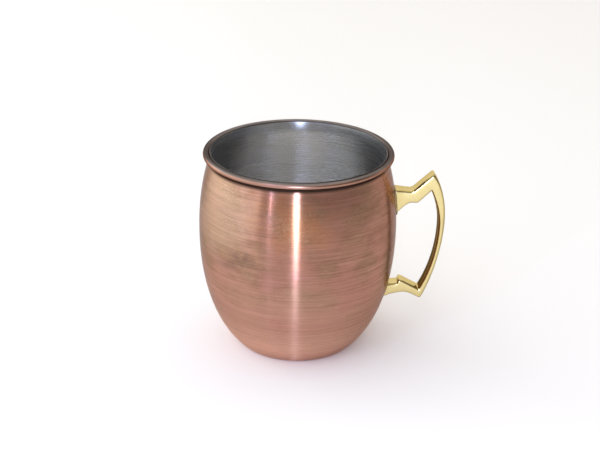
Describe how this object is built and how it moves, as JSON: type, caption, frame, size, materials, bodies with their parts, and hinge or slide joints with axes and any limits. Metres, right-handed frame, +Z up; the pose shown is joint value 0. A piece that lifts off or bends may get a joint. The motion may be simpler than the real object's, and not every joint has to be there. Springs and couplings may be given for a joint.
{
  "type": "copper mug",
  "caption": "Barrel-shaped drinking mug of brushed copper with a rolled rim, a grey metal lining and an angular cast brass handle on one side.",
  "frame": {"origin": "centre of the flat base that the mug stands on, on the cup's axis", "axes": "+Z up along the cup's axis, +X towards the handle; the mug is symmetrical about the XZ plane"},
  "size_m": [0.1158, 0.0928, 0.0959],
  "materials": {
    "copper": "brushed round the body, antiqued, satin",
    "lining": "smooth grey metal, satin",
    "brass": "cast and polished, pale yellow",
    "braze": "dull brazing alloy"
  },
  "bodies": {
    "root": {"copper_cup": "copper", "steel_lining": "lining", "brass_handle": "brass", "upper_braze_joint": "braze", "lower_braze_joint": "braze"}
  },
  "joints": []
}
